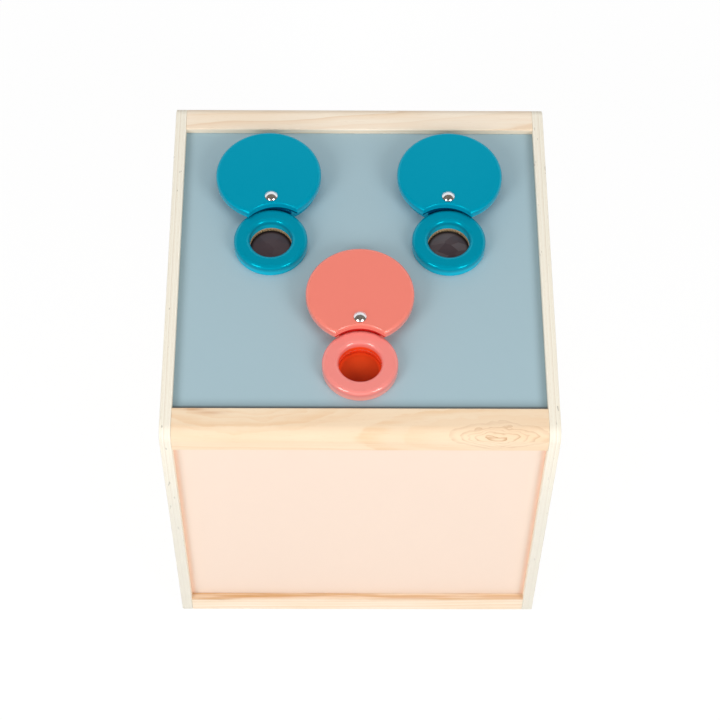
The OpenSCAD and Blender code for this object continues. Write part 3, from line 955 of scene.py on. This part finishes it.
def acrylic_finish(name, eye, tones, gloss, roughness, reflection_share):
    """Tinted acrylic with painted shade in front, painted light at the back, a painted rim tone, patches
    of painted reflection, haze and rub marks.
    """
    near_tone, far_tone, rim_tone = tones
    material, place = new_finish(name)
    haze = cloud(place, (70, 70, 70), detail=3.0)
    # Painted shade in front and painted light at the back, made uneven by the haze.
    uneven = calc("MULTIPLY_ADD", haze, 8 * MM, parts(place)[1])
    front, back = [(EYES[eye][1] + reach) * MM for reach in WINDOW_SHADE]
    shade = tint(grade(uneven, front, back), near_tone, far_tone)
    # Painted reflections: lighter patches in cells across the acrylic.
    cells = vector("MULTIPLY", place, (75, 120, 1))
    reflection_cells = join("ShaderNodeTexVoronoi", {"Vector": cells, "Scale": 1.0}).outputs["Color"]
    shade = tint(times(reflection_cells, reflection_share), shade, REFLECTION_TONE)
    # At the rim, painted shade on the smoke and a painted red glow on the orange.
    rim = grade(away_from(place, EYES[eye]), WINDOW_RIM[0] * MM, WINDOW_RIM[1] * MM, 0.0, 0.85)
    shade = tint(rim, shade, rim_tone)
    rubs = times(grade(cloud(place, (1200, 260, 260)), 0.55, 0.8), 0.05)
    return surface(material, shade, calc("ADD", rubs, roughness), gloss, IOR=ACRYLIC_IOR)


WINDOW_FINISH = {
    "left": ("smoke_acrylic", acrylic_finish(
        "smoke_acrylic_left", "left", PALER_SMOKE, gloss=0.2, roughness=0.05, reflection_share=0.16)),
    "right": ("smoke_acrylic", acrylic_finish(
        "smoke_acrylic_right", "right", SMOKE, gloss=0.2, roughness=0.05, reflection_share=0.55)),
    "centre": ("orange_acrylic", acrylic_finish(
        "orange_acrylic", "centre", ORANGE, gloss=0.06, roughness=0.12, reflection_share=0.0)),
}
window_profile = [
    (0.0, -WINDOW_T), (WINDOW_R - WINDOW_EDGE, -WINDOW_T), (WINDOW_R, -WINDOW_T + WINDOW_EDGE),
    (WINDOW_R, -WINDOW_EDGE), (WINDOW_R - WINDOW_EDGE, 0.0), (0.0, 0.0)]
for eye, (x, y) in EYES.items():
    window_slot, acrylic = WINDOW_FINISH[eye]
    shape = turned(window_profile, sides=96)
    shape.transform(Matrix.Translation(Vector((x, y, WINDOW_TOP)) * MM))
    window = piece_of(eye + "_window_lens", shape)
    clad(window, acrylic)
    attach(window, "box")
    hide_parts(eye + "_window")
    dress(raw_board, eye + "_window_retainer")
dress(zinc_steel, "ring_screws")


# The cover bases: notched hardwood blocks a little higher than the rings, painted like them and fixed
# behind them. They stay well inside the covers, and hold them high enough to swing over the rings.
COVER_ARM = 23.0
PIVOT_BACK = 35.0
BASE_R = 35.8
BASE_NOTCH_R = 29.8
BASE_TOP = 300.5
BASE_EDGE = 0.3
BASE_TIP = 0.8
PIVOT_HOLE_R = 2.55
DISC_TONE = {"teal": srgb(0, 148, 178), "coral": srgb(246, 133, 117)}
# Painted shade on the wall of each base's notch.
BASE_NOTCH_SHADE = {"teal": srgb(0, 72, 112), "coral": srgb(255, 52, 44)}
NOTCH_WALL = (0.4, 0.9)
NOTCH_FADE = 1.0


def notched_arcs(radius, notch_r, tip):
    """Outline of a disc with a round notch in front of it, about the pivot, with rounded tips."""
    disc, ring_middle = (0.0, COVER_ARM), (0.0, -PIVOT_BACK)
    apart = COVER_ARM + PIVOT_BACK
    up = (apart ** 2 + (notch_r + tip) ** 2 - (radius - tip) ** 2) / (2 * apart)
    x = sqrt((notch_r + tip) ** 2 - up ** 2)
    y = ring_middle[1] + up
    on_disc = atan2(y - disc[1], x)
    on_notch = atan2(up, x)
    return [
        (disc, radius, on_disc, pi - on_disc),
        ((-x, y), tip, pi - on_disc, 2 * pi - on_notch),
        (ring_middle, notch_r, pi - on_notch, on_notch),
        ((x, y), tip, pi + on_notch, 2 * pi + on_disc),
    ]


def about_pivot(eye, turn=0.0):
    """From the outline about a pivot to its place on the box, turned by so many degrees."""
    x, y = EYES[eye]
    c, s = cos(radians(turn)), sin(radians(turn))
    return lambda u, v, height: (x + u * c - v * s, y + PIVOT_BACK + u * s + v * c, height)


def disc_paint(name, eye, to_frame, notch_r, top, notch_shade, over=None):
    """The paint of a notched piece, with painted shade on the wall of the notch below top."""
    def shaded(place, colour):
        colour = over(place, colour) if over else colour
        away = away_from(place, to_frame(0.0, -PIVOT_BACK, 0.0)[:2])
        wall = grade(away, *[(notch_r + reach) * MM for reach in NOTCH_WALL], 1.0, 0.0)
        return tint(times(wall, below(place, top, top - NOTCH_FADE)), colour, notch_shade)
    hue = HUE[eye]
    return paint_finish(eye + name, DISC_TONE[hue], mottle=0.04, sheen=0.14, gloss=1.0,
                        gloss_tint=GLOSS_TINT[hue], over=shaded)


def base_outline(inset):
    return notched_arcs(BASE_R - inset, BASE_NOTCH_R + inset, BASE_TIP - inset)


for eye in EYES:
    to_frame = about_pivot(eye)
    shape = eased_slab(base_outline, PANEL_TOP, BASE_TOP, BASE_EDGE, BASE_EDGE, to_frame, PIVOT_HOLE_R)
    base = piece_of(eye + "_cover_base_painted", shape)
    clad(base, disc_paint("_base_paint", eye, to_frame, BASE_NOTCH_R, BASE_TOP + NOTCH_FADE,
                          BASE_NOTCH_SHADE[HUE[eye]]))
    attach(base, "box")
    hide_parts(eye + "_cover_base")


# The swivelling covers: notched hardwood discs in the colour of their ring, their upper edge
# rounded. Each turns on its pivot bolt, and half a turn lays it over the ring.
COVER_R = 41.8
COVER_NOTCH_R = 27.8
COVER_Z = 301.0
COVER_TOP = 308.0
COVER_EDGE = 2.6
COVER_FOOT_EDGE = 0.8
COVER_TIP = 0.8
SHARPEST_TIP = 0.15
NOTCH_EDGE_SHARE = 0.5
NOTCH_SHADE_TOP = 303.6
LIT_EDGE_SHARE = 0.8
PARKED_TURN = {"left": 6.5, "right": -4.0, "centre": 0.0}
# Painted shade on the wall of each cover's notch.
COVER_NOTCH_SHADE = {"teal": srgb(0, 56, 90), "coral": srgb(196, 22, 18)}


def cover_outline(inset):
    tip = max(COVER_TIP - inset, SHARPEST_TIP)
    return notched_arcs(COVER_R - inset, COVER_NOTCH_R + inset * NOTCH_EDGE_SHARE, tip)


for eye in EYES:
    to_frame = about_pivot(eye, PARKED_TURN[eye])
    shape = eased_slab(cover_outline, COVER_Z, COVER_TOP, COVER_FOOT_EDGE, COVER_EDGE, to_frame,
                       PIVOT_HOLE_R, steps=8)
    cover = piece_of(eye + "_cover_painted", shape)
    # Painted light on the cover's edge walls, and painted shade on the wall of its notch.
    lit_edge = painted_light_below(COVER_TOP, LIT_WALL_TONE[HUE[eye]], LIT_EDGE_SHARE)
    clad(cover, disc_paint("_cover_paint", eye, to_frame, COVER_NOTCH_R, NOTCH_SHADE_TOP,
                           COVER_NOTCH_SHADE[HUE[eye]], lit_edge))
    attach(cover, eye + "_swivel")
    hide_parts(eye + "_cover")


# The pivot bolts: bright domed shoulder bolts through cover, nylon slip washer, base and top panel,
# each drawn up on a washer and nut inside the box so that its cover still turns.
HEAD_R = 4.9
HEAD_H = 2.4
HEAD_Z = 308.2
HEAD_RIM = 0.35
DOME_STEPS = 20
SHOULDER_R = 2.5
THREAD_R = 2.0
THREAD_CHAMFER = 0.5
BOLT_TAIL = 276.7
BOLT_TURN_SEED = 9


def bolt_profile():
    """Section of a bolt from the top of its dome down, with a small rounded rim."""
    dome_r = (HEAD_R ** 2 + HEAD_H ** 2) / (2 * HEAD_H)
    middle = HEAD_H - dome_r
    rim_turn = atan2(HEAD_R - HEAD_RIM * 0.5, HEAD_RIM - middle)
    turns = [rim_turn * k / DOME_STEPS for k in range(DOME_STEPS + 1)]
    foot, tail = PANEL_TOP - HEAD_Z, BOLT_TAIL - HEAD_Z
    return [
        *[(dome_r * sin(a), middle + dome_r * cos(a)) for a in turns],
        (HEAD_R - 0.02, 0.2), (HEAD_R - 0.1, 0.05), (HEAD_R - HEAD_RIM, 0.0), (SHOULDER_R, 0.0),
        (SHOULDER_R, foot), (THREAD_R, foot), (THREAD_R, tail + THREAD_CHAMFER),
        (THREAD_R - THREAD_CHAMFER, tail), (0.0, tail),
    ]


def nylon_finish():
    material, place = new_finish("nylon")
    clouds = cloud(place, (300, 300, 300))
    colour = tint(clouds, srgb(238, 236, 230), srgb(222, 219, 210))
    return surface(material, colour, grade(clouds, 0.2, 0.8, 0.38, 0.5), bump=clouds, depth=0.01)


bright_steel = metal_finish("bright_steel", srgb(236, 237, 240), srgb(222, 224, 228),
                            rough_low=0.12, rough_high=0.18, grain=400)
bolt = piece_of("pivot_bolt", turned(bolt_profile(), sides=72))
clad(bolt)
plain_mesh(bolt)
bolt_places = [(x, y + PIVOT_BACK, HEAD_Z) for x, y in EYES.values()]
pivot_bolts = grown("pivot_bolts_set", bolt_places, fixings_at_places, {
    "Fixing": bolt, "Outward": (0.0, 0.0, 1.0), "Turn seed": BOLT_TURN_SEED, "Finish": bright_steel})
bpy.data.objects.remove(bolt)
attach(pivot_bolts, "box")
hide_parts("left_pivot_bolt", "right_pivot_bolt", "centre_pivot_bolt")
dress(nylon_finish(), "slip_washers")
dress(zinc_steel, "pivot_washers", "pivot_nuts")
